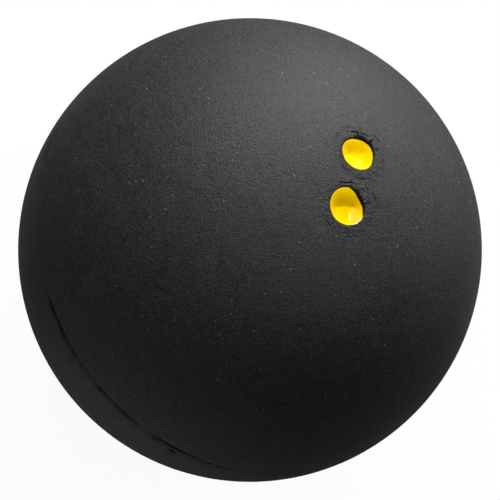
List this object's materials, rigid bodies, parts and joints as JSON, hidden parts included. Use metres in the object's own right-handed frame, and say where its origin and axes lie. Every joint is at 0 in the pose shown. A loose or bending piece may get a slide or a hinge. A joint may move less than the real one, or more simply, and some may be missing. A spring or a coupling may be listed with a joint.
{
  "type": "squash ball",
  "caption": "Small hollow rubber ball for court play: moulded halves butt-bonded at a fine seam, matt buffed skin, yellow dots in lipped dimples at one pole.",
  "frame": {"origin": "centre of the ball", "axes": "+Z out through the pole of the dotted half, between the two dots; the seam lies in the XY plane; the dots lie along X, the picture's upper dot at -X and its lower dot at +X"},
  "size_m": [0.04, 0.04, 0.04],
  "materials": {
    "buffed_rubber": "matt black, finely buffed",
    "rubber_cement": "cured black rubber cement, slightly shiny",
    "dot_paint": "glossy yellow paint"
  },
  "bodies": {
    "root": {"dotted_half_shell": "buffed_rubber", "plain_half_shell": "buffed_rubber", "seam_bond": "rubber_cement", "yellow_dot_left": "dot_paint", "yellow_dot_right": "dot_paint"}
  },
  "joints": []
}
